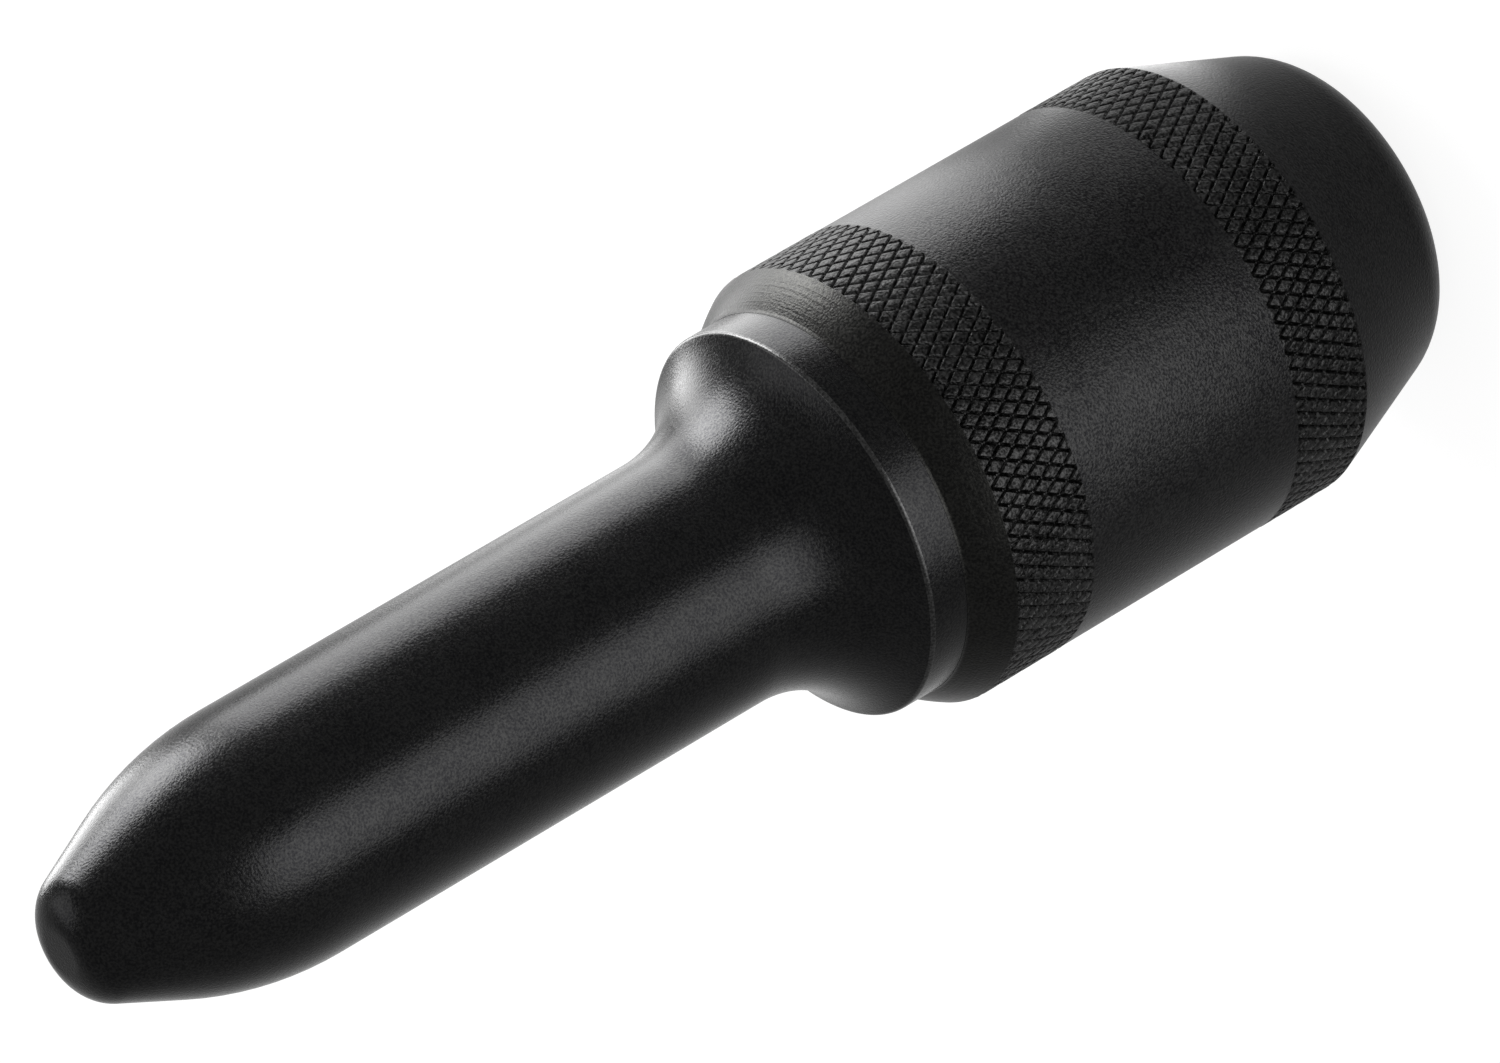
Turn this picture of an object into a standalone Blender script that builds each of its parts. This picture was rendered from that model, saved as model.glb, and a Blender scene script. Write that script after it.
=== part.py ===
"""Hammer-driven flaring tool for 1 inch soft copper tube, standing on its striking face.

The tool's axis is the Z axis: the striking face is at z = 0 and the nose points up. A striking handle with two
knurled bands and a solid tapered head is bored from its front. The flaring mandrel's collar and shank sit in that
bore, where a split ring of round wire holds the shank and lets it turn.
"""

import math

import bmesh
import bpy
from mathutils import Matrix

MM = 0.001

# Clearances between pieces
RUNNING_CLEARANCE = 0.3 * MM  # radial, between a shaft and the bore round it
SEAT_GAP = 0.3 * MM  # between two faces that rest on each other

# Mandrel: nose, pilot, flare form and collar
NOSE_FACE_RADIUS = 2.0 * MM
NOSE_CORNER_RADIUS = 4.9 * MM
NOSE_TAPER = math.radians(24.7)  # half-angle of the straight taper
OGIVE_RADIUS = 34.8 * MM  # long arc from the taper into the pilot
PILOT_RADIUS = 12.475 * MM  # enters a 1 inch type K copper tube
PILOT_LENGTH = 49.2 * MM
COVE_RADIUS = 14.0 * MM  # the concave form that turns the tube's mouth outwards
COLLAR_SHOWN = 4.25 * MM  # from the rim of the flare form to the handle's lip
COLLAR_ENGAGED = 6.0 * MM  # hidden in the handle's counterbore
SEAT_STEP = 7.6 * MM  # from the shank out to the collar, the face that takes the blow
SHANK_LENGTH = 30.0 * MM
SHANK_CHAMFER = 1.2 * MM
EDGE_BREAK = 0.25 * MM

# Striking handle: barrel
BARREL_RADIUS = 22.225 * MM  # turned from 1 3/4 inch bar
COUNTERBORE_WALL = 2.325 * MM
LIP_WALL = 0.45 * MM
SHOULDER_LENGTH = 3.65 * MM
SHOULDER_ARC_RADIUS = 14.0 * MM  # the shoulder's slight crown
FRONT_KNURL_LENGTH = 9.3 * MM
PLAIN_BAND_LENGTH = 25.2 * MM
REAR_KNURL_LENGTH = 8.6 * MM

# Striking handle: tapered head and blind bore
HEAD_LENGTH = 17.4 * MM
HEAD_TAPER = math.radians(20.5)
CROWN_RADIUS = 7.5 * MM  # rounds the taper into the striking face
BORE_END_GAP = 1.0 * MM  # below the shank's end
BORE_MOUTH_CHAMFER = 0.8 * MM  # lead-in that closes the split ring as the shank goes in
DRILL_POINT = math.radians(31.0)  # of the bore's conical end, from square

# Split ring that holds the shank
WIRE_RADIUS = 0.8 * MM
RETAINER_DROP = 20.0 * MM  # from the collar's seat to the ring's middle
RING_OPENING = math.radians(24.0)

# Knurl
KNURL_PITCH = 1.587 * MM  # between grooves, round the barrel
KNURL_ANGLE = math.radians(30.6)  # of a groove from the axis
KNURL_CREST = 0.08 * MM  # above the plain band
KNURL_ROOT = 0.27 * MM  # below the plain band

# Facets
TURNED_STEPS = 64
WIRE_STEPS = 8
ARC_STEP = math.radians(9.0)
SHARP_ANGLE = math.radians(30.0)  # edges turned further than this stay sharp
WELD = 0.00001

# Radii that follow from the sizes above
COUNTERBORE_RADIUS = BARREL_RADIUS - COUNTERBORE_WALL
COLLAR_RADIUS = COUNTERBORE_RADIUS - RUNNING_CLEARANCE
SHANK_RADIUS = COLLAR_RADIUS - SEAT_STEP
BORE_RADIUS = SHANK_RADIUS + RUNNING_CLEARANCE
RETAINER_RADIUS = (SHANK_RADIUS + BORE_RADIUS) / 2.0
GROOVE_REACH = WIRE_RADIUS + RUNNING_CLEARANCE  # of the ring's two grooves, from the wire's middle
CROWN_TURN = math.pi / 2.0 - HEAD_TAPER
HEAD_CORNER_RADIUS = BARREL_RADIUS - HEAD_LENGTH * math.tan(HEAD_TAPER)  # where the taper would meet the face
FACE_RADIUS = HEAD_CORNER_RADIUS - CROWN_RADIUS * math.tan(CROWN_TURN / 2.0)

# Heights that follow from the sizes above
REAR_KNURL_TOP_Z = HEAD_LENGTH + REAR_KNURL_LENGTH
FRONT_KNURL_Z = REAR_KNURL_TOP_Z + PLAIN_BAND_LENGTH
FRONT_KNURL_TOP_Z = FRONT_KNURL_Z + FRONT_KNURL_LENGTH
LIP_Z = FRONT_KNURL_TOP_Z + SHOULDER_LENGTH
COLLAR_REAR_Z = LIP_Z - COLLAR_ENGAGED
SHANK_END_Z = COLLAR_REAR_Z - SHANK_LENGTH
RETAINER_Z = COLLAR_REAR_Z - RETAINER_DROP
COUNTERBORE_FLOOR_Z = COLLAR_REAR_Z - SEAT_GAP
BORE_FLOOR_Z = SHANK_END_Z - BORE_END_GAP
RIM_Z = LIP_Z + COLLAR_SHOWN
COVE_ANGLE = math.acos(1.0 - (COLLAR_RADIUS - PILOT_RADIUS) / COVE_RADIUS)
COVE_TOP_Z = RIM_Z + COVE_RADIUS * math.sin(COVE_ANGLE)
PILOT_TOP_Z = COVE_TOP_Z + PILOT_LENGTH


def clear_scene():
    """Start from an empty scene."""
    for thing in list(bpy.data.objects):
        bpy.data.objects.remove(thing, do_unlink=True)


def new_collection(name):
    """A collection linked to the scene."""
    collection = bpy.data.collections.new(name)
    bpy.context.scene.collection.children.link(collection)
    return collection


def new_material(name, color, metallic, roughness):
    """A Principled material of one colour."""
    material = bpy.data.materials.new(name)
    material.use_nodes = True
    shader = material.node_tree.nodes["Principled BSDF"]
    shader.inputs["Base Color"].default_value = (*color, 1.0)
    shader.inputs["Metallic"].default_value = metallic
    shader.inputs["Roughness"].default_value = roughness
    material.diffuse_color = (*color, 1.0)
    return material


def arc(centre_r, centre_z, radius, start, end):
    """Points (r, z) on an arc, at angles from the +r direction towards +Z, both ends included."""
    count = max(2, math.ceil(abs(end - start) / ARC_STEP))
    angles = [start + (end - start) * i / count for i in range(count + 1)]
    return [(centre_r + radius * math.cos(a), centre_z + radius * math.sin(a)) for a in angles]


def turned_mesh(name, profile, steps, closed=False, turn=2.0 * math.pi):
    """Mesh of a profile of (r, z) points turned about Z by a Screw modifier.

    The profile runs down the outer side, top to bottom. It starts and ends on the axis, or is closed on itself.
    """
    count = len(profile)
    edges = [(i, i + 1) for i in range(count - 1)]
    if closed:
        edges.append((count - 1, 0))
    outline = bpy.data.meshes.new(name + "_outline")
    outline.from_pydata([(r, 0.0, z) for r, z in profile], edges, [])
    turning = bpy.data.objects.new(name + "_outline", outline)
    bpy.context.scene.collection.objects.link(turning)
    screw = turning.modifiers.new("turn", "SCREW")
    screw.axis = "Z"
    screw.angle = turn
    screw.steps = steps
    screw.render_steps = steps
    screw.use_merge_vertices = True
    screw.merge_threshold = WELD
    evaluated = turning.evaluated_get(bpy.context.evaluated_depsgraph_get())
    mesh = bpy.data.meshes.new_from_object(evaluated)
    mesh.name = name
    bpy.data.objects.remove(turning, do_unlink=True)
    bpy.data.meshes.remove(outline)
    return mesh


def place(name, mesh, material, collection, parent):
    """Object of a mesh on the tool's axis, shaded smooth between sharp edges."""
    mesh.materials.clear()
    mesh.materials.append(material)
    mesh.shade_smooth()
    mesh.set_sharp_from_angle(angle=SHARP_ANGLE)
    thing = bpy.data.objects.new(name, mesh)
    collection.objects.link(thing)
    thing.parent = parent


def nose_profile():
    """Rounded end face, straight taper and ogive, from the axis down to the pilot."""
    ogive_start_r = PILOT_RADIUS - OGIVE_RADIUS * (1.0 - math.cos(NOSE_TAPER))
    taper_start_r = NOSE_FACE_RADIUS + NOSE_CORNER_RADIUS * math.cos(NOSE_TAPER)
    taper_length = (ogive_start_r - taper_start_r) / math.tan(NOSE_TAPER)
    taper_start_z = PILOT_TOP_Z + OGIVE_RADIUS * math.sin(NOSE_TAPER) + taper_length
    corner_z = taper_start_z - NOSE_CORNER_RADIUS * math.sin(NOSE_TAPER)
    corner = arc(NOSE_FACE_RADIUS, corner_z, NOSE_CORNER_RADIUS, math.pi / 2.0, NOSE_TAPER)
    ogive = arc(PILOT_RADIUS - OGIVE_RADIUS, PILOT_TOP_Z, OGIVE_RADIUS, NOSE_TAPER, 0.0)
    return [(0.0, corner_z + NOSE_CORNER_RADIUS)] + corner + ogive


def mandrel_profile():
    """The mandrel from the tip down its outer side to the shank's end."""
    cove = arc(PILOT_RADIUS + COVE_RADIUS, COVE_TOP_Z, COVE_RADIUS, math.pi, math.pi + COVE_ANGLE)
    collar = [
        (COLLAR_RADIUS, RIM_Z - EDGE_BREAK),
        (COLLAR_RADIUS, COLLAR_REAR_Z + EDGE_BREAK),
        (COLLAR_RADIUS - EDGE_BREAK, COLLAR_REAR_Z),
    ]
    rim = (COLLAR_RADIUS - EDGE_BREAK, RIM_Z + EDGE_BREAK / math.tan(COVE_ANGLE))
    shank = [
        (SHANK_RADIUS, COLLAR_REAR_Z),
        (SHANK_RADIUS, RETAINER_Z + GROOVE_REACH),
        (RETAINER_RADIUS - GROOVE_REACH, RETAINER_Z + GROOVE_REACH),
        (RETAINER_RADIUS - GROOVE_REACH, RETAINER_Z - GROOVE_REACH),
        (SHANK_RADIUS, RETAINER_Z - GROOVE_REACH),
        (SHANK_RADIUS, SHANK_END_Z + SHANK_CHAMFER),
        (SHANK_RADIUS - SHANK_CHAMFER, SHANK_END_Z),
        (0.0, SHANK_END_Z),
    ]
    return nose_profile() + cove[:-1] + [rim] + collar + shank


def knurl_rows(length):
    """How many half-diamonds fit along a band."""
    return max(2, round(length * math.tan(KNURL_ANGLE) / (KNURL_PITCH / 2.0)))


def band_heights(bottom, length):
    """Heights of the rings of a knurled band, from the top edge down to the bottom one."""
    rows = knurl_rows(length)
    return [bottom + length * (rows - i) / rows for i in range(rows + 1)]


def knurl_profile(bottom, length):
    """Profile of a band: its two edges at the barrel's radius, the rings between them at the root."""
    heights = band_heights(bottom, length)
    root = BARREL_RADIUS - KNURL_ROOT
    return [(BARREL_RADIUS, heights[0])] + [(root, z) for z in heights[1:-1]] + [(BARREL_RADIUS, heights[-1])]


def shoulder_profile():
    """Slightly crowned shoulder, an arc from the lip out to the barrel."""
    lip_r = COUNTERBORE_RADIUS + LIP_WALL
    rise = BARREL_RADIUS - lip_r
    chord = math.hypot(rise, SHOULDER_LENGTH)
    lean = math.atan2(rise, SHOULDER_LENGTH)
    half_turn = math.asin(chord / (2.0 * SHOULDER_ARC_RADIUS))
    top_angle = lean + half_turn
    centre_r = lip_r - SHOULDER_ARC_RADIUS * math.cos(top_angle)
    centre_z = SHOULDER_LENGTH - SHOULDER_ARC_RADIUS * math.sin(top_angle)
    points = arc(centre_r, centre_z, SHOULDER_ARC_RADIUS, top_angle, lean - half_turn)
    return [(r, z + FRONT_KNURL_TOP_Z) for r, z in points[:-1]]


def handle_profile():
    """The handle from the bottom of its bore up to the lip, then down its outer side to the striking face."""
    inside = [
        (0.0, BORE_FLOOR_Z - BORE_RADIUS * math.tan(DRILL_POINT)),
        (BORE_RADIUS, BORE_FLOOR_Z),
        (BORE_RADIUS, RETAINER_Z - GROOVE_REACH),
        (RETAINER_RADIUS + GROOVE_REACH, RETAINER_Z - GROOVE_REACH),
        (RETAINER_RADIUS + GROOVE_REACH, RETAINER_Z + GROOVE_REACH),
        (BORE_RADIUS, RETAINER_Z + GROOVE_REACH),
        (BORE_RADIUS, COUNTERBORE_FLOOR_Z - BORE_MOUTH_CHAMFER),
        (BORE_RADIUS + BORE_MOUTH_CHAMFER, COUNTERBORE_FLOOR_Z),
        (COUNTERBORE_RADIUS, COUNTERBORE_FLOOR_Z),
        (COUNTERBORE_RADIUS, LIP_Z),
    ]
    front = knurl_profile(FRONT_KNURL_Z, FRONT_KNURL_LENGTH)
    rear = knurl_profile(HEAD_LENGTH, REAR_KNURL_LENGTH)
    crown = arc(FACE_RADIUS, CROWN_RADIUS, CROWN_RADIUS, -HEAD_TAPER, -math.pi / 2.0)
    return inside + shoulder_profile() + front + rear + crown + [(0.0, 0.0)]


def raise_diamonds(shape, heights, steps):
    """Turn the plain rings of a band into knurling.

    Every other inner ring is turned by half a pitch. Each four-sided face is split along its short diagonal, and the
    edges that run round the barrel are dissolved, which leaves diamonds. Each is then raised to a point.
    """
    barrel = BARREL_RADIUS - KNURL_ROOT - WELD
    near = WELD
    rings = [[v for v in shape.verts if abs(v.co.z - z) < near and v.co.xy.length > barrel] for z in heights]
    half_pitch = Matrix.Rotation(math.pi / steps, 3, "Z")
    for ring in rings[1:-1:2]:
        bmesh.ops.rotate(shape, verts=ring, cent=(0.0, 0.0, 0.0), matrix=half_pitch)
    band = {v for ring in rings for v in ring}
    faces = [f for f in shape.faces if all(v in band for v in f.verts)]
    bmesh.ops.triangulate(shape, faces=faces, quad_method="SHORT_EDGE")
    inner = [set(ring) for ring in rings[1:-1]]
    round_edges = [e for e in shape.edges if any(e.verts[0] in ring and e.verts[1] in ring for ring in inner)]
    bmesh.ops.dissolve_edges(shape, edges=round_edges, use_verts=False)
    diamonds = [f for f in shape.faces if len(f.verts) == 4 and all(v in band for v in f.verts)]
    crests = bmesh.ops.poke(shape, faces=diamonds)["verts"]
    for crest in crests:
        crest.co.xy = crest.co.xy.normalized() * (BARREL_RADIUS + KNURL_CREST)


def handle_mesh():
    """The turned handle with both bands knurled."""
    steps = round(2.0 * math.pi * BARREL_RADIUS / KNURL_PITCH)
    mesh = turned_mesh("striking_handle", handle_profile(), steps)
    shape = bmesh.new()
    shape.from_mesh(mesh)
    raise_diamonds(shape, band_heights(FRONT_KNURL_Z, FRONT_KNURL_LENGTH), steps)
    raise_diamonds(shape, band_heights(HEAD_LENGTH, REAR_KNURL_LENGTH), steps)
    shape.to_mesh(mesh)
    shape.free()
    return mesh


def retaining_ring_mesh():
    """Round wire bent to an open ring, its two ends cut square, with the opening towards +X."""
    angles = [math.pi / 2.0 - 2.0 * math.pi * i / WIRE_STEPS for i in range(WIRE_STEPS)]
    section = [(WIRE_RADIUS * math.cos(a), WIRE_RADIUS * math.sin(a)) for a in angles]
    wire = [(RETAINER_RADIUS + r, RETAINER_Z + z) for r, z in section]
    mesh = turned_mesh("retaining_ring", wire, TURNED_STEPS, closed=True, turn=2.0 * math.pi - RING_OPENING)
    shape = bmesh.new()
    shape.from_mesh(mesh)
    bmesh.ops.holes_fill(shape, edges=shape.edges, sides=WIRE_STEPS)
    half_opening = Matrix.Rotation(RING_OPENING / 2.0, 3, "Z")
    bmesh.ops.rotate(shape, verts=shape.verts, cent=(0.0, 0.0, 0.0), matrix=half_opening)
    shape.to_mesh(mesh)
    shape.free()
    return mesh


def build():
    clear_scene()
    parts = new_collection("flaring_tool")
    ground_steel = new_material("black_ground_steel", (0.022, 0.021, 0.020), 0.85, 0.34)
    satin_steel = new_material("black_satin_steel", (0.030, 0.030, 0.031), 0.75, 0.52)
    spring_steel = new_material("spring_steel", (0.16, 0.15, 0.14), 0.90, 0.35)

    axis = bpy.data.objects.new("tool_axis", None)
    parts.objects.link(axis)
    mandrel = turned_mesh("flaring_mandrel", mandrel_profile(), TURNED_STEPS)
    place("flaring_mandrel", mandrel, ground_steel, parts, axis)
    place("striking_handle", handle_mesh(), satin_steel, parts, axis)
    place("retaining_ring", retaining_ring_mesh(), spring_steel, parts, axis)


build()
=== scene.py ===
"""Looks of a hammer-driven flaring tool in black-oxide steel, standing on its striking face.

Each of its pieces is a closed surface of two parameters: a profile of radius against height carried round
the tool's axis, or a wire's round section carried along an arc. The handle's knurled bands are cut into its
surface as two crossing sets of helical grooves.
"""

import math

import bpy
import numpy as np
from mathutils import Matrix, Vector


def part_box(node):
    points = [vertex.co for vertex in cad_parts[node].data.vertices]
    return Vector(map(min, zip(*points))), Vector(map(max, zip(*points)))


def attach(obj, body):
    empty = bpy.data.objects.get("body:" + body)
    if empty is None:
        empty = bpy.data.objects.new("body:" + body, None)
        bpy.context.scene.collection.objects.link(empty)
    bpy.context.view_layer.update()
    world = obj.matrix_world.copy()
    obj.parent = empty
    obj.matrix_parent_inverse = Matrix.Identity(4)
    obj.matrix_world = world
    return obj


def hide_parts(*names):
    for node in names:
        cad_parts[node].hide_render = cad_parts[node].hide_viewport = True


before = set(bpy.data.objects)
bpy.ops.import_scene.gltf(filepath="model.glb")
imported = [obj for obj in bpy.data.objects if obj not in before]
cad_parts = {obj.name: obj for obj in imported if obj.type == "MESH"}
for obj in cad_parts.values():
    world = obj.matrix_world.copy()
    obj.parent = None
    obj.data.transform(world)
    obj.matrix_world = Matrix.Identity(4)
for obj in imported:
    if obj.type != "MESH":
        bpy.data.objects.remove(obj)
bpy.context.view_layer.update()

MM = 0.001

# Heights and radii that the solids give
TIP_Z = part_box("flaring_mandrel")[1][2]
SHANK_END_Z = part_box("flaring_mandrel")[0][2]
LIP_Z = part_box("striking_handle")[1][2]
CREST_LIMIT = min(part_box("striking_handle")[1][:2])
RETAINER_Z = 0.5 * (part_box("retaining_ring")[0][2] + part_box("retaining_ring")[1][2])

# Clearances
RUNNING_CLEARANCE = 0.3 * MM
SEAT_GAP = 0.3 * MM
HAIRLINE = 0.015 * MM  # between the collar and the handle's lip, which the photograph shows closed

# Mandrel
NOSE_FACE_RADIUS = 2.0 * MM
NOSE_CORNER_RADIUS = 4.9 * MM
NOSE_TAPER = math.radians(24.7)  # of the nose's side from the axis
OGIVE_RADIUS = 34.8 * MM
PILOT_RADIUS = 12.475 * MM
COVE_RADIUS = 14.0 * MM
COLLAR_RADIUS = 19.6 * MM
COLLAR_SHOWN = 4.25 * MM
COLLAR_ENGAGED = 6.0 * MM
SHANK_RADIUS = 12.0 * MM
SHANK_CHAMFER = 1.2 * MM
RIM_ROUNDING = 0.5 * MM
COLLAR_REAR_ROUNDING = 0.28 * MM

# Handle
BARREL_RADIUS = 22.225 * MM
LIP_FILLET = 0.6 * MM  # small hollow where the shoulder meets the collar
LIP_TURN = math.radians(42.0)  # of the surface, from the collar to the shoulder
LIP_EDGE = 0.01 * MM
LIP_DEPTH = 0.8 * MM
SHOULDER_LENGTH = 3.65 * MM
FRONT_KNURL_LENGTH = 9.3 * MM
PLAIN_BAND_LENGTH = 25.2 * MM
HEAD_LENGTH = 17.4 * MM
HEAD_TAPER = math.radians(20.5)  # of the head's side from the axis
CROWN_RADIUS = 7.5 * MM
BORE_MOUTH_CHAMFER = 0.8 * MM
BORE_END_GAP = 1.0 * MM
DRILL_POINT = math.radians(31.0)  # of the bore's conical end from its floor

# Knurl
TEETH_ROUND = 88
COLUMNS_PER_TOOTH = 7
KNURL_ANGLE = math.radians(30.6)  # of a groove from the axis
GROOVE_DEPTH = 0.27 * MM
EDGE_SHARE = 0.15  # of the groove's depth that a pad's eased edge falls by
PAD_RISE = 0.04 * MM  # of the pads above the plain band
KNURL_MARGIN = 0.12 * MM  # of plain metal that a knurled band's last grooves fade into

# Split ring
WIRE_RADIUS = 0.8 * MM
RING_OPENING = math.radians(24.0)
WIRE_COLUMNS = 24
RING_STATIONS = 160
WIRE_END_ANGLES = np.radians(np.linspace(20.0, 80.0, 4))  # places along a cut end's rounding

# How finely the other surfaces are divided
MANDREL_COLUMNS = 256
ARC_STEP = math.radians(3.0)
CROWN_STEP = math.radians(5.0)
HOLLOW_STEP = math.radians(7.0)
SHOULDER_STEP = math.radians(1.5)
CORNER_POINTS = 6
SHARP_ANGLE = math.radians(32.0)  # between two faces, past which the edge between them shows

# Sizes that follow
BORE_RADIUS = SHANK_RADIUS + RUNNING_CLEARANCE
COUNTERBORE_RADIUS = COLLAR_RADIUS + RUNNING_CLEARANCE
RETAINER_RADIUS = 0.5 * (SHANK_RADIUS + BORE_RADIUS)
GROOVE_REACH = WIRE_RADIUS + RUNNING_CLEARANCE
RIM_Z = LIP_Z + COLLAR_SHOWN
COLLAR_REAR_Z = LIP_Z - COLLAR_ENGAGED
COVE_ANGLE = math.acos(1.0 - (COLLAR_RADIUS - PILOT_RADIUS) / COVE_RADIUS)
COVE_TOP_Z = RIM_Z + COVE_RADIUS * math.sin(COVE_ANGLE)
FRONT_KNURL_TOP_Z = LIP_Z - SHOULDER_LENGTH
FRONT_KNURL_Z = FRONT_KNURL_TOP_Z - FRONT_KNURL_LENGTH
REAR_KNURL_TOP_Z = FRONT_KNURL_Z - PLAIN_BAND_LENGTH

# Each finish's place in its piece's list of materials: the mandrel's two, then the handle's three
GROUND = 0
RIM_PAINTED_HIGHLIGHT = 1
SATIN = 0
KNURL_SHADE_AND_GLINTS = 1
TURNED = 2

# Patterns in the steel's coat
RING_SPACING = MM / 3.3  # 0.3 mm, between the rings that a lathe tool leaves
RING_STRETCH = (0.02, 0.02, 1.0)  # draws the noise out round the tool, so that it makes rings
STAIN_WIDTH = MM / 0.22  # 4.5 mm
NOISE_LOW = 0.35  # most of a noise texture's values lie between these two
NOISE_HIGH = 0.65
STAIN_SHARE = 0.2  # of the wear, and the pits have the rest
PIT_SHARE = 0.8
ROUGHNESS_SWING = 0.04  # to either side, from the coat to its most worn places

# Studio
WHITE = (1.0, 1.0, 1.0, 1.0)
TABLE_WHITE = "#e6e6e6"  # as it lights the tool
TABLE_GLOW = 0.9  # of the white that the camera sees
FAINT_GREY = (0.25, 0.25, 0.25, 1.0)  # of the rest, on which the tool's shadow falls
TABLE_HALF_WIDTH = 3.0
SOFT_LIGHT = 0.5  # from the world all round

# Camera, fitted to the photograph
SENSOR_WIDTH = 36.0  # in millimetres, as the focal length is
FOCAL_LENGTH = 273.9
NEAR_LIMIT = 0.01
CAMERA_DISTANCE = 0.9172  # from the tool's axis, along the floor
CAMERA_RISE = 0.4143  # above the nose's tip
CAMERA_ELEVATION = math.radians(28.36)
CAMERA_PAN = math.radians(-0.09)
CAMERA_ROLL = math.radians(-120.34)


def arc(centre_r, centre_z, radius, start, end, step=ARC_STEP):
    """Points (r, z) = centre + radius (cos a, sin a), with a from start to end.

    The steps are equal, and none is larger than step.
    """
    count = max(2, math.ceil(abs(end - start) / step))
    a = np.linspace(start, end, count + 1)
    return np.column_stack((centre_r + radius * np.cos(a), centre_z + radius * np.sin(a)))


def closed_surface(name, places, half_turn, first_pole, last_pole):
    """A closed mesh of a grid of points: rings of columns, joined round, and a pole beyond each end.

    half_turn says which rings are set half a column on. Two triangles fill each cell between two rings,
    split so that the diagonal is the short one. The outside is where ring direction x column direction
    points.
    """
    rings, columns = places.shape[:2]
    upper = np.arange(rings - 1)
    lower = upper + 1
    j = np.arange(columns)
    k = (j + 1) % columns
    a = upper[:, None] * columns + j
    b = upper[:, None] * columns + k
    c = lower[:, None] * columns + j
    d = lower[:, None] * columns + k
    forward = (half_turn[upper] < half_turn[lower])[:, None]
    first = np.stack((a, c, np.where(forward, b, d)), 2)
    second = np.stack((np.where(forward, b, a), np.where(forward, c, d), np.where(forward, d, b)), 2)
    start = rings * columns
    last = (rings - 1) * columns
    fan_on = np.column_stack((np.full(columns, start), j, k))
    fan_off = np.column_stack((np.full(columns, start + 1), last + k, last + j))
    verts = np.vstack((places.reshape(-1, 3), first_pole, last_pole))
    faces = np.vstack((first.reshape(-1, 3), second.reshape(-1, 3), fan_on, fan_off))
    mesh = bpy.data.meshes.new(name)
    mesh.from_pydata(verts, [], faces)
    mesh.shade_smooth()
    mesh.set_sharp_from_angle(angle=SHARP_ANGLE)
    piece = bpy.data.objects.new(name, mesh)
    bpy.context.scene.collection.objects.link(piece)
    return piece


def turned_piece(name, radius, height, half_turn, first_pole_z, last_pole_z):
    """Ring i, column j is at angle (j + half_turn[i] / 2) 2 pi / columns, radius[i, j] and height[i].

    The rings run up a bore and down an outer side, and a pole on the axis closes each end.
    """
    columns = radius.shape[1]
    angle = (np.arange(columns)[None, :] + 0.5 * half_turn[:, None]) * (2.0 * math.pi / columns)
    level = np.broadcast_to(height[:, None], radius.shape)
    places = np.stack((radius * np.cos(angle), radius * np.sin(angle), level), 2)
    return closed_surface(name, places, half_turn, (0.0, 0.0, first_pole_z), (0.0, 0.0, last_pole_z))


def plain_rings(profile, columns):
    """Rings of one radius each for a profile of (r, z) rows, none of them set half a column on."""
    profile = np.asarray(profile, float)
    return np.repeat(profile[:, :1], columns, axis=1), profile[:, 1], np.zeros(len(profile), int)


def rounded_corner(before, corner, after, radius):
    """Parabola from one straight run of a profile to the next, in place of the corner between them.

    It touches each run where a circle of this radius would.
    """
    before, corner, after = (np.asarray(p, float) for p in (before, corner, after))
    into = (before - corner) / np.linalg.norm(before - corner)
    out = (after - corner) / np.linalg.norm(after - corner)
    half = 0.5 * math.acos(float(np.clip(into @ out, -1.0, 1.0)))
    reach = radius / math.tan(half)
    start = corner + into * reach
    end = corner + out * reach
    t = np.linspace(0.0, 1.0, CORNER_POINTS)[:, None]
    return (1.0 - t) ** 2 * start + 2.0 * t * (1.0 - t) * corner + t ** 2 * end


def face_centres(piece):
    """The centre (x, y, z) of each face."""
    centres = np.empty(3 * len(piece.data.polygons))
    piece.data.polygons.foreach_get("center", centres)
    return centres.reshape(-1, 3)


def set_finish(piece, finish):
    """Gives each face the number of its material."""
    piece.data.polygons.foreach_set("material_index", finish.astype(np.int32))


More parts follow.
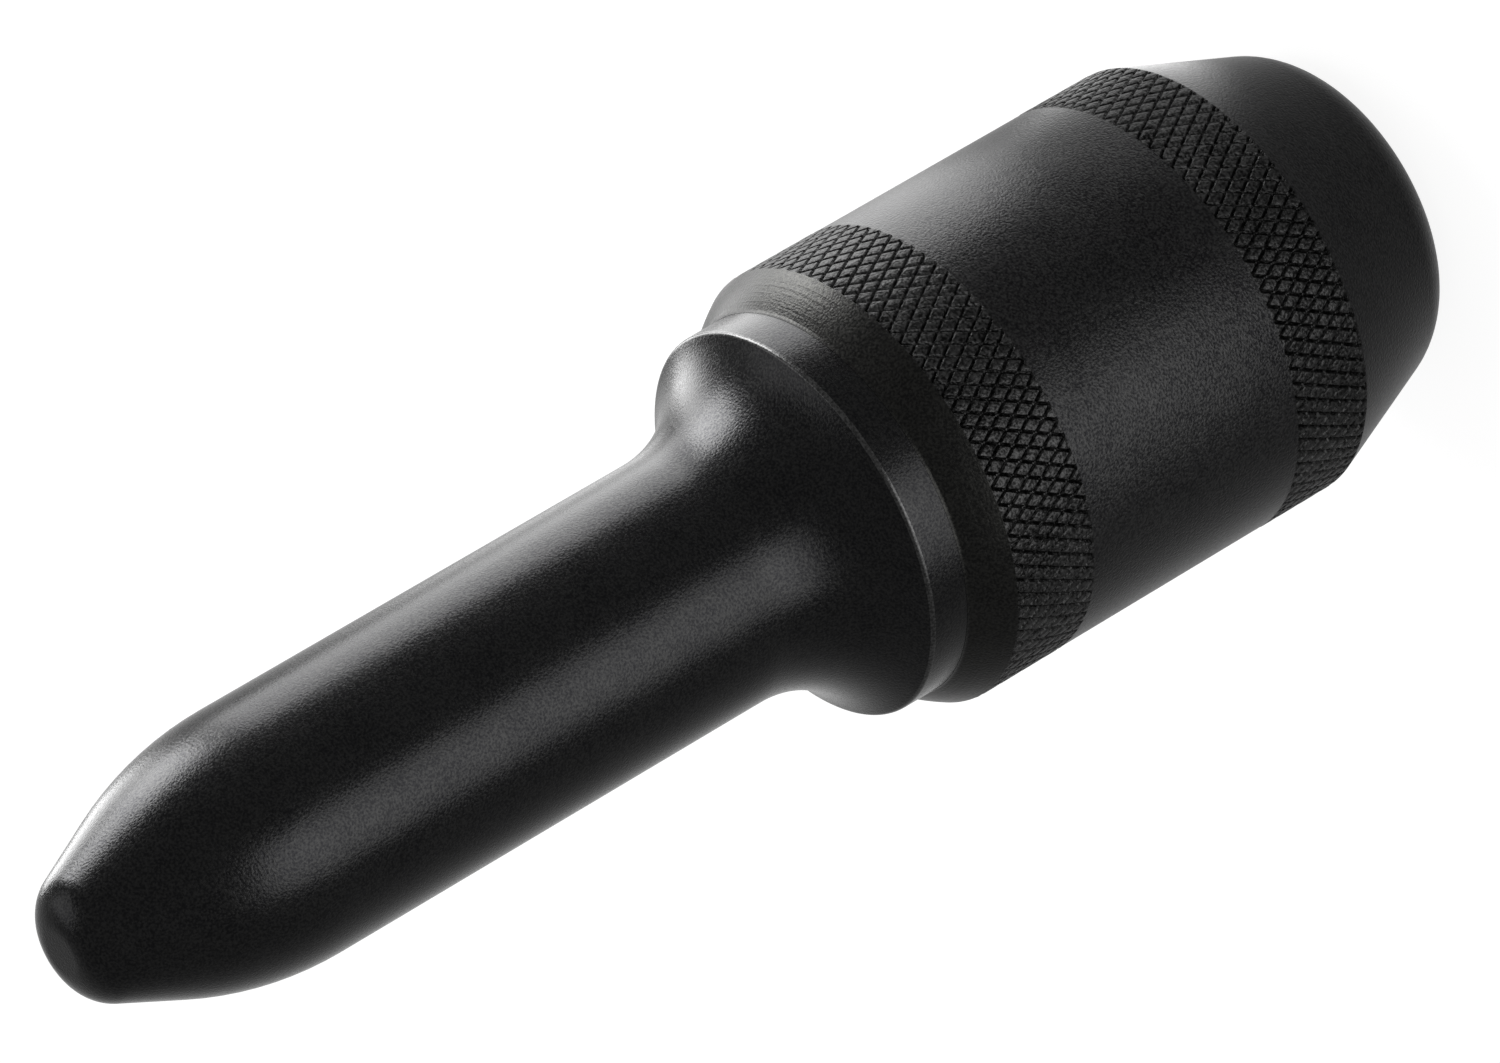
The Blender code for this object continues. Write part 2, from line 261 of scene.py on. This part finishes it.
def mandrel():
    """Nose, pilot, flare form, collar and grooved shank: one turned surface from tip to shank's end.

    From the tip its profile is a round corner, a straight taper, a long arc that ends along the pilot, the
    pilot, a hollow arc out to the collar's rim, the collar, and the shank with its groove. It is ground all
    over, and the rim's rounding has a paler coat as a painted highlight.
    """
    corner_z = TIP_Z - NOSE_CORNER_RADIUS
    nose_corner = arc(NOSE_FACE_RADIUS, corner_z, NOSE_CORNER_RADIUS, math.pi / 2.0, NOSE_TAPER)
    taper_start = nose_corner[-1]
    ogive_start_r = PILOT_RADIUS - OGIVE_RADIUS * (1.0 - math.cos(NOSE_TAPER))
    taper_drop = (ogive_start_r - taper_start[0]) / math.tan(NOSE_TAPER)
    pilot_top_z = taper_start[1] - taper_drop - OGIVE_RADIUS * math.sin(NOSE_TAPER)
    ogive = arc(PILOT_RADIUS - OGIVE_RADIUS, pilot_top_z, OGIVE_RADIUS, NOSE_TAPER, 0.0)
    cove = arc(PILOT_RADIUS + COVE_RADIUS, COVE_TOP_Z, COVE_RADIUS, math.pi, math.pi + COVE_ANGLE)
    rim = rounded_corner(cove[-2], cove[-1], (COLLAR_RADIUS, COLLAR_REAR_Z), RIM_ROUNDING)
    collar_rear = rounded_corner((COLLAR_RADIUS, RIM_Z), (COLLAR_RADIUS, COLLAR_REAR_Z),
                                 (SHANK_RADIUS, COLLAR_REAR_Z), COLLAR_REAR_ROUNDING)
    shank = np.array([
        (SHANK_RADIUS, COLLAR_REAR_Z),
        (SHANK_RADIUS, RETAINER_Z + GROOVE_REACH),
        (RETAINER_RADIUS - GROOVE_REACH, RETAINER_Z + GROOVE_REACH),
        (RETAINER_RADIUS - GROOVE_REACH, RETAINER_Z - GROOVE_REACH),
        (SHANK_RADIUS, RETAINER_Z - GROOVE_REACH),
        (SHANK_RADIUS, SHANK_END_Z + SHANK_CHAMFER),
        (SHANK_RADIUS - SHANK_CHAMFER, SHANK_END_Z),
    ])
    profile = np.vstack((nose_corner, ogive, cove[:-1], rim, collar_rear, shank))
    piece = turned_piece("mandrel", *plain_rings(profile, MANDREL_COLUMNS), TIP_Z, SHANK_END_Z)
    z = face_centres(piece)[:, 2]
    # The rim's rounding takes the paler coat: a painted highlight
    set_finish(piece, np.where((z > rim[-1][1]) & (z < rim[0][1]), RIM_PAINTED_HIGHLIGHT, GROUND))
    return piece


def handle_bore():
    """Profile of the handle's inside, from the foot of its bore up to the lip, which closes on the collar."""
    seat_z = COLLAR_REAR_Z - SEAT_GAP
    lip_r = COLLAR_RADIUS + HAIRLINE
    return np.array([
        (BORE_RADIUS, SHANK_END_Z - BORE_END_GAP),
        (BORE_RADIUS, RETAINER_Z - GROOVE_REACH),
        (RETAINER_RADIUS + GROOVE_REACH, RETAINER_Z - GROOVE_REACH),
        (RETAINER_RADIUS + GROOVE_REACH, RETAINER_Z + GROOVE_REACH),
        (BORE_RADIUS, RETAINER_Z + GROOVE_REACH),
        (BORE_RADIUS, seat_z - BORE_MOUTH_CHAMFER),
        (BORE_RADIUS + BORE_MOUTH_CHAMFER, seat_z),
        (COUNTERBORE_RADIUS, seat_z),
        (COUNTERBORE_RADIUS, LIP_Z - LIP_DEPTH - RUNNING_CLEARANCE),
        (lip_r, LIP_Z - LIP_DEPTH),
        (lip_r, fillet_centre()[1]),
    ])


def fillet_centre():
    """Centre of the lip's small hollow: it touches the collar, and LIP_Z is halfway along its height."""
    hollow_r = COLLAR_RADIUS + HAIRLINE + LIP_EDGE + LIP_FILLET
    return hollow_r, LIP_Z + 0.5 * LIP_FILLET * math.sin(LIP_TURN)


def handle_shoulder():
    """Profile of the lip's hollow, then of a slightly crowned arc out to the barrel.

    The arc leaves the hollow along its tangent: its radius is d . d / (2 d . n), where d runs back from the
    barrel's edge to the hollow's end and n is the surface's normal there.
    """
    hollow = arc(*fillet_centre(), LIP_FILLET, math.pi, math.pi + LIP_TURN, HOLLOW_STEP)
    start = hollow[-1]
    end = np.array((BARREL_RADIUS, FRONT_KNURL_TOP_Z))
    normal = np.array((math.cos(LIP_TURN), math.sin(LIP_TURN)))
    back = start - end
    crown_radius = back @ back / (2.0 * back @ normal)
    centre = start - crown_radius * normal
    end_angle = math.atan2(*(end - centre)[::-1])
    crown = arc(*centre, crown_radius, LIP_TURN, end_angle, SHOULDER_STEP)
    foot = end + (crown[-2] - end) * (KNURL_MARGIN / np.linalg.norm(crown[-2] - end))
    return np.vstack((hollow[:-1], crown[:-1], foot, crown[-1:]))


def handle_head():
    """Profile of the taper behind the rear knurl, its round crown and the flat striking face."""
    face_corner_r = BARREL_RADIUS - HEAD_LENGTH * math.tan(HEAD_TAPER)
    crown_turn = math.pi / 2.0 - HEAD_TAPER
    crown_r = face_corner_r - CROWN_RADIUS * math.tan(crown_turn / 2.0)
    crown = arc(crown_r, CROWN_RADIUS, CROWN_RADIUS, -HEAD_TAPER, -math.pi / 2.0, CROWN_STEP)
    margin_r = BARREL_RADIUS - KNURL_MARGIN * math.tan(HEAD_TAPER)
    start = np.array([(BARREL_RADIUS, HEAD_LENGTH), (margin_r, HEAD_LENGTH - KNURL_MARGIN)])
    return np.vstack((start, crown, [(0.5 * crown_r, 0.0)]))


def knurl_rings(top_z, length):
    """Radius and height of a knurled band's inner rings, and which of them are set half a column on.

    The radius is the pad's, less a groove along each line where teeth * angle / 2 pi + or - z / lead is
    whole, and lead is the axial length of one diamond. A groove's walls are one column wide, and the pad's
    edge beside each is one more. Column and row steps are matched, so a groove's bottom runs along edges
    of the surface.
    """
    columns = TEETH_ROUND * COLUMNS_PER_TOOTH
    lead = 2.0 * math.pi * BARREL_RADIUS / TEETH_ROUND / math.tan(KNURL_ANGLE)
    rows = round(length / lead * 2 * COLUMNS_PER_TOOTH)
    row = np.arange(1, rows)
    half_turn = row % 2
    height = top_z - length * row / rows
    tooth = (np.arange(columns)[None, :] + 0.5 * half_turn[:, None]) / COLUMNS_PER_TOOTH
    climb = row[:, None] / (2 * COLUMNS_PER_TOOTH)
    to_right = np.abs((tooth + climb + 0.5) % 1.0 - 0.5) * COLUMNS_PER_TOOTH
    to_left = np.abs((tooth - climb + 0.5) % 1.0 - 0.5) * COLUMNS_PER_TOOTH
    nearest = np.minimum(to_right, to_left)
    groove = np.interp(nearest, (0.0, 1.0, 2.0), (1.0, EDGE_SHARE, 0.0))
    radius = BARREL_RADIUS + PAD_RISE - GROOVE_DEPTH * groove
    return np.minimum(radius, CREST_LIMIT), height, half_turn


def striking_handle():
    """Bore, lip, shoulder, knurled barrel and tapered head, with the knurl's rings between plain ones.

    The barrel and head are satin, the two bands are knurled with a darker coat as painted shade and pale
    pits as painted glints, and the shoulder and the bore are turned.
    """
    columns = TEETH_ROUND * COLUMNS_PER_TOOTH
    plain_band = [
        (BARREL_RADIUS, FRONT_KNURL_Z),
        (BARREL_RADIUS, FRONT_KNURL_Z - KNURL_MARGIN),
        (BARREL_RADIUS, REAR_KNURL_TOP_Z + KNURL_MARGIN),
        (BARREL_RADIUS, REAR_KNURL_TOP_Z),
    ]
    stretches = [
        plain_rings(np.vstack((handle_bore(), handle_shoulder())), columns),
        knurl_rings(FRONT_KNURL_TOP_Z, FRONT_KNURL_LENGTH),
        plain_rings(plain_band, columns),
        knurl_rings(REAR_KNURL_TOP_Z, REAR_KNURL_TOP_Z - HEAD_LENGTH),
        plain_rings(handle_head(), columns),
    ]
    radius, height, half_turn = (np.concatenate(values) for values in zip(*stretches))
    drill_tip_z = height[0] - BORE_RADIUS * math.tan(DRILL_POINT)
    handle = turned_piece("knurled_striking_handle", radius, height, half_turn, drill_tip_z, 0.0)
    x, y, z = face_centres(handle).T
    front = (z > FRONT_KNURL_Z) & (z < FRONT_KNURL_TOP_Z)
    rear = (z > HEAD_LENGTH) & (z < REAR_KNURL_TOP_Z)
    inside = (np.hypot(x, y) < COUNTERBORE_RADIUS + HAIRLINE) & (z > HEAD_LENGTH)
    turned = inside | (z > FRONT_KNURL_TOP_Z)
    # The knurled bands take the darker coat, painted shade, with painted glints in its pale pits
    set_finish(handle, np.select([turned, front | rear], [TURNED, KNURL_SHADE_AND_GLINTS], SATIN))
    return handle


def split_ring():
    """Round wire round the shank.

    Section angle s at station angle t is (R + w cos s, z + w sin s), turned by t. At each end the section's
    radius w falls off as a quarter circle, so the cut ends are rounded.
    """
    overhang = WIRE_RADIUS / RETAINER_RADIUS
    reach = overhang * np.cos(WIRE_END_ANGLES)
    swell = np.sin(WIRE_END_ANGLES)
    start = 0.5 * RING_OPENING + overhang
    end = 2.0 * math.pi - start
    along = np.linspace(start, end, RING_STATIONS)
    t = np.concatenate((start - reach, along, end + reach[::-1]))
    w = WIRE_RADIUS * np.concatenate((swell, np.ones(RING_STATIONS), swell[::-1]))
    s = np.arange(WIRE_COLUMNS) * (2.0 * math.pi / WIRE_COLUMNS)
    out = RETAINER_RADIUS + w[:, None] * np.cos(s)
    level = RETAINER_Z + w[:, None] * np.sin(s)
    places = np.stack((out * np.cos(t)[:, None], out * np.sin(t)[:, None], level), 2)
    poles = [(RETAINER_RADIUS * math.cos(a), RETAINER_RADIUS * math.sin(a), RETAINER_Z)
             for a in (start - overhang, end + overhang)]
    return closed_surface("split_retaining_ring", places, np.zeros(len(t), int), *poles)


def linear(hex_colour):
    """Linear RGBA of an sRGB hex colour."""
    channels = [int(hex_colour[i:i + 2], 16) / 255.0 for i in (1, 3, 5)]
    return (*[c / 12.92 if c <= 0.04045 else ((c + 0.055) / 1.055) ** 2.4 for c in channels], 1.0)


def add_node(tree, kind, settings=None, **links):
    """Adds a node. settings are its own properties, and links are its inputs.

    An input goes by its name, with _ for a space, or by i and its number. It is given a value, or another
    node's socket.
    """
    node = tree.nodes.new(kind)
    for key, value in (settings or {}).items():
        setattr(node, key, value)
    for key, value in links.items():
        numbered = key[0] == "i" and key[1:].isdigit()
        socket = node.inputs[int(key[1:]) if numbered else key.replace("_", " ")]
        if isinstance(value, bpy.types.NodeSocket):
            tree.links.new(value, socket)
        else:
            socket.default_value = value
    return node


def new_material(name):
    """A material with an empty node tree, and the tree."""
    material = bpy.data.materials.new(name)
    material.use_nodes = True
    material.node_tree.nodes.clear()
    return material, material.node_tree


def coated_steel(name, colour, wear_and_glint_colour, roughness, turning, grain, pit_width, edge):
    """Steel under a coat so thin that it keeps the metal's own surface.

    colour is the coat's, and the second colour that of its stains and pits; on the knurl its pale pits are
    painted glints. turning is the height of the rings that a lathe tool leaves, and grain that of the pits.
    pit_width is drawn coarser than it is, so that the pits show. edge is how much of the light that grazes
    it the coat sends on, where bare steel sends on all of it.
    """
    material, tree = new_material(name)
    place = add_node(tree, "ShaderNodeTexCoord").outputs["Object"]
    stretched = add_node(tree, "ShaderNodeMapping", Vector=place, Scale=RING_STRETCH).outputs[0]
    rings = add_node(tree, "ShaderNodeTexNoise", Vector=stretched, Scale=1.0 / RING_SPACING,
                     Detail=2.0, Roughness=0.6).outputs["Fac"]
    stains = add_node(tree, "ShaderNodeTexNoise", Vector=place, Scale=1.0 / STAIN_WIDTH,
                      Detail=5.0, Roughness=0.65).outputs["Fac"]
    pits = add_node(tree, "ShaderNodeTexNoise", Vector=place, Scale=1.0 / pit_width,
                    Detail=1.0, Roughness=0.5).outputs["Fac"]
    patch = add_node(tree, "ShaderNodeMapRange", Value=stains, From_Min=NOISE_LOW, From_Max=NOISE_HIGH,
                     To_Max=STAIN_SHARE).outputs[0]
    speckle = add_node(tree, "ShaderNodeMapRange", Value=pits, From_Min=NOISE_LOW, From_Max=NOISE_HIGH,
                       To_Max=PIT_SHARE).outputs[0]
    # stains and pits; where a call makes them pale, as on the knurl, the pits are painted glints
    wear_and_glints = add_node(tree, "ShaderNodeMath", {"operation": "ADD"}, i0=patch, i1=speckle).outputs[0]
    tint = add_node(tree, "ShaderNodeMix", {"data_type": "RGBA"}, Factor=wear_and_glints,
                    i6=linear(colour), i7=linear(wear_and_glint_colour)).outputs[2]
    rough = add_node(tree, "ShaderNodeMapRange", Value=wear_and_glints, To_Min=roughness - ROUGHNESS_SWING,
                     To_Max=roughness + ROUGHNESS_SWING).outputs[0]
    ring_bump = add_node(tree, "ShaderNodeBump", Strength=1.0, Distance=turning, Height=rings).outputs[0]
    grain_bump = add_node(tree, "ShaderNodeBump", Strength=1.0, Distance=grain, Height=pits,
                          Normal=ring_bump).outputs[0]
    shader = add_node(tree, "ShaderNodeBsdfPrincipled", Base_Color=tint, Metallic=1.0, Roughness=rough,
                      Specular_Tint=(edge, edge, edge, 1.0), Normal=grain_bump).outputs[0]
    add_node(tree, "ShaderNodeOutputMaterial", Surface=shader)
    return material


def white_seen_by_camera(tree):
    """1 for rays from the camera and those that a mirror or glass sends on, 0 for light that only falls."""
    rays = add_node(tree, "ShaderNodeLightPath").outputs
    seen = add_node(tree, "ShaderNodeMath", {"operation": "MAXIMUM"}, i0=rays["Is Camera Ray"],
                    i1=rays["Is Glossy Ray"]).outputs[0]
    return add_node(tree, "ShaderNodeMath", {"operation": "MAXIMUM"}, i0=seen,
                    i1=rays["Is Transmission Ray"]).outputs[0]


def pale_floor():
    """Matt white studio table at z = 0.

    The camera and mirrors see an even glow and a faint matt share, and the tool's shadow falls on that share.
    """
    material, tree = new_material("matt_white_table")
    matt = add_node(tree, "ShaderNodeBsdfDiffuse", Color=linear(TABLE_WHITE)).outputs[0]
    faint = add_node(tree, "ShaderNodeBsdfDiffuse", Color=FAINT_GREY).outputs[0]
    glow = add_node(tree, "ShaderNodeEmission", Color=WHITE, Strength=TABLE_GLOW).outputs[0]
    seen = add_node(tree, "ShaderNodeAddShader", i0=faint, i1=glow).outputs[0]
    mixed = add_node(tree, "ShaderNodeMixShader", i0=white_seen_by_camera(tree), i1=matt, i2=seen).outputs[0]
    add_node(tree, "ShaderNodeOutputMaterial", Surface=mixed)
    half = TABLE_HALF_WIDTH
    corners = [(-half, -half, 0.0), (half, -half, 0.0), (half, half, 0.0), (-half, half, 0.0)]
    mesh = bpy.data.meshes.new("table_top")
    mesh.from_pydata(corners, [], [(0, 1, 2, 3)])
    mesh.materials.append(material)
    floor = bpy.data.objects.new("table_top", mesh)
    bpy.context.scene.collection.objects.link(floor)


def studio_world():
    """White to the camera and to mirrors, a soft grey as light."""
    world = bpy.data.worlds.new("studio")
    world.use_nodes = True
    tree = world.node_tree
    tree.nodes.clear()
    soft = add_node(tree, "ShaderNodeBackground", Color=WHITE, Strength=SOFT_LIGHT).outputs[0]
    white = add_node(tree, "ShaderNodeBackground", Color=WHITE, Strength=1.0).outputs[0]
    mixed = add_node(tree, "ShaderNodeMixShader", i0=white_seen_by_camera(tree), i1=soft, i2=white).outputs[0]
    add_node(tree, "ShaderNodeOutputWorld", Surface=mixed)
    bpy.context.scene.world = world


def softbox(name, azimuth, distance, height, width, tall, brightness, aim_z, spread=180.0, lights_matt=True):
    """A soft lamp, turned towards the tool's axis at height aim_z. Angles are in degrees.

    azimuth goes round from the camera's side towards +X. brightness is for each part of the lamp's face, so
    it doesn't change with its size. Without lights_matt only the steel shows its light.
    """
    lamp = bpy.data.lights.new(name, "AREA")
    lamp.shape = "RECTANGLE"
    lamp.size = width
    lamp.size_y = tall
    lamp.energy = brightness * math.pi * width * tall
    lamp.spread = math.radians(spread)
    box = bpy.data.objects.new(name, lamp)
    turn = math.radians(azimuth)
    place = Vector((distance * math.sin(turn), -distance * math.cos(turn), height))
    box.location = place
    box.rotation_euler = (Vector((0.0, 0.0, aim_z)) - place).to_track_quat("-Z", "Y").to_euler()
    box.visible_camera = False
    box.visible_diffuse = lights_matt
    bpy.context.scene.collection.objects.link(box)


def photo_camera():
    """The photograph's viewpoint, 28 degrees above the horizon.

    The camera is rolled, so that the nose points low at the left and towards the lens.
    """
    camera = bpy.data.cameras.new("camera")
    camera.sensor_width = SENSOR_WIDTH
    camera.lens = FOCAL_LENGTH
    camera.clip_start = NEAR_LIMIT
    view = bpy.data.objects.new("camera", camera)
    place = Matrix.Translation((0.0, -CAMERA_DISTANCE, TIP_Z + CAMERA_RISE))
    pan = Matrix.Rotation(CAMERA_PAN, 4, "Z")
    tilt = Matrix.Rotation(math.pi / 2.0 - CAMERA_ELEVATION, 4, "X")
    roll = Matrix.Rotation(CAMERA_ROLL, 4, "Z")
    view.matrix_world = place @ (pan @ tilt) @ roll
    bpy.context.scene.collection.objects.link(view)
    bpy.context.scene.camera = view


# Ground before it was blacked: near-black and half glossy, with clear soft-edged lights along it
GROUND_STEEL = coated_steel(
    "black_oxide_ground_steel", colour="#0e0e0f", wear_and_glint_colour="#1b1b1b", roughness=0.26,
    turning=0.006 * MM, grain=0.024 * MM, pit_width=0.23 * MM, edge=0.70)

# The same coat, a shade paler on the rim's rounding: a painted highlight, so the rim draws a fine light line
PAINTED_HIGHLIGHT_RIM_STEEL = coated_steel(
    "black_oxide_rim_painted_highlight", colour="#1a1a1a", wear_and_glint_colour="#303030", roughness=0.27,
    turning=0.0, grain=0.01 * MM, pit_width=0.23 * MM, edge=0.75)

# Turned and left so before it was blacked: fine rings round it, which catch the light as short arcs
TURNED_STEEL = coated_steel(
    "black_oxide_turned_steel", colour="#0e0e0e", wear_and_glint_colour="#1b1b1a", roughness=0.34,
    turning=0.03 * MM, grain=0.028 * MM, pit_width=0.24 * MM, edge=0.66)

# Smoothed with grit and blacked: satin, with an even grain in place of rings and broad, faint lights
SATIN_STEEL = coated_steel(
    "black_oxide_satin_steel", colour="#0c0c0d", wear_and_glint_colour="#1f1f1f", roughness=0.36,
    turning=0.0, grain=0.05 * MM, pit_width=0.25 * MM, edge=0.68)

# Rolled into a knurl and blacked: dull and grainy. Its coat is darker than the satin as painted shade, and
# # its pale pits are painted glints, so its grooves look black between faint pads
KNURL_SHADE_AND_GLINT_STEEL = coated_steel(
    "black_oxide_knurl_painted_shade_and_glints", colour="#050505", wear_and_glint_colour="#262626", roughness=0.42,
    turning=0.0, grain=0.10 * MM, pit_width=0.30 * MM, edge=0.62)

# Drawn wire under a film of oil: smooth, plain grey steel
SPRING_STEEL = coated_steel(
    "oiled_spring_wire", colour="#6b6866", wear_and_glint_colour="#7a7673", roughness=0.35,
    turning=0.0, grain=0.002 * MM, pit_width=0.2 * MM, edge=0.75)

# Each piece with its body, the solid that it stands for, its material slot and its finishes
PIECES = [
    (mandrel(), "mandrel", "flaring_mandrel", "ground_steel", [GROUND_STEEL, PAINTED_HIGHLIGHT_RIM_STEEL]),
    (striking_handle(), "handle", "striking_handle", "satin_steel",
     [SATIN_STEEL, KNURL_SHADE_AND_GLINT_STEEL, TURNED_STEEL]),
    (split_ring(), "handle", "retaining_ring", "spring_steel", [SPRING_STEEL]),
]
for piece, body, node, slot_name, steels in PIECES:
    for steel in steels:
        piece.data.materials.append(steel)
    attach(piece, body)
    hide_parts(node)

pale_floor()
studio_world()

# The overhead lamp lights the table too. The others are seen only in the steel, so the table stays even,
# and the two panels lie nearly flat on it, because they are aimed far above the tool.
softbox("overhead_softbox", azimuth=118.0, distance=0.35, height=0.55, width=0.35, tall=0.35,
        brightness=3.4, aim_z=0.03)
softbox("side_softbox", azimuth=102.0, distance=0.50, height=0.122, width=0.26, tall=0.238,
        brightness=39.0, aim_z=0.122, lights_matt=False)
softbox("back_softbox", azimuth=136.0, distance=0.50, height=0.090, width=0.34, tall=0.160,
        brightness=14.0, aim_z=0.090, lights_matt=False)
softbox("low_left_softbox", azimuth=100.0, distance=0.062, height=0.063, width=0.052, tall=0.092,
        brightness=4.2, aim_z=0.096, spread=100.0, lights_matt=False)
softbox("table_panel", azimuth=90.0, distance=0.041, height=0.002, width=0.060, tall=0.036,
        brightness=3.6, aim_z=0.5, lights_matt=False)
softbox("far_table_panel", azimuth=134.0, distance=0.18, height=0.002, width=0.130, tall=0.090,
        brightness=2.4, aim_z=9.0, lights_matt=False)
softbox("low_right_softbox", azimuth=-28.0, distance=0.085, height=0.070, width=0.075, tall=0.14,
        brightness=1.7, aim_z=0.09, spread=80.0, lights_matt=False)
photo_camera()

bpy.context.scene.view_settings.view_transform = "Standard"
